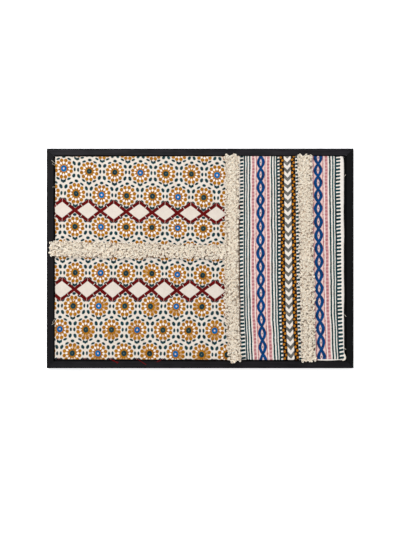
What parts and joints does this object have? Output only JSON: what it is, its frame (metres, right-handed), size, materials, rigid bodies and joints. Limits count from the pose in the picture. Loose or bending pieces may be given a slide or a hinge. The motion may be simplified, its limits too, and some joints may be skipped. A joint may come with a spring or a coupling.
{
  "type": "framed block printed textile",
  "caption": "Printed cotton cloth with strips of looped pile, turned down over a board inside a black wooden frame.",
  "frame": {"origin": "centre of the back, in the plane that the frame rests on", "axes": "+X along the long side, to the right as seen from the front; +Y up the hung picture; +Z out of its face"},
  "size_m": [0.98, 0.702, 0.0363],
  "materials": {
    "black_wood": "satin black stain",
    "black_board": "matte black paint",
    "printed_cotton": "plain woven cotton with a block print",
    "cotton_pile": "undyed looped cotton yarn"
  },
  "bodies": {
    "root": {"frame_rail_bottom": "black_wood", "frame_rail_right": "black_wood", "frame_rail_top": "black_wood", "frame_rail_left": "black_wood", "mount_board": "black_board", "printed_cloth": "printed_cotton", "pile_band_cross": "cotton_pile", "pile_band_left": "cotton_pile", "pile_band_right": "cotton_pile"}
  },
  "joints": []
}
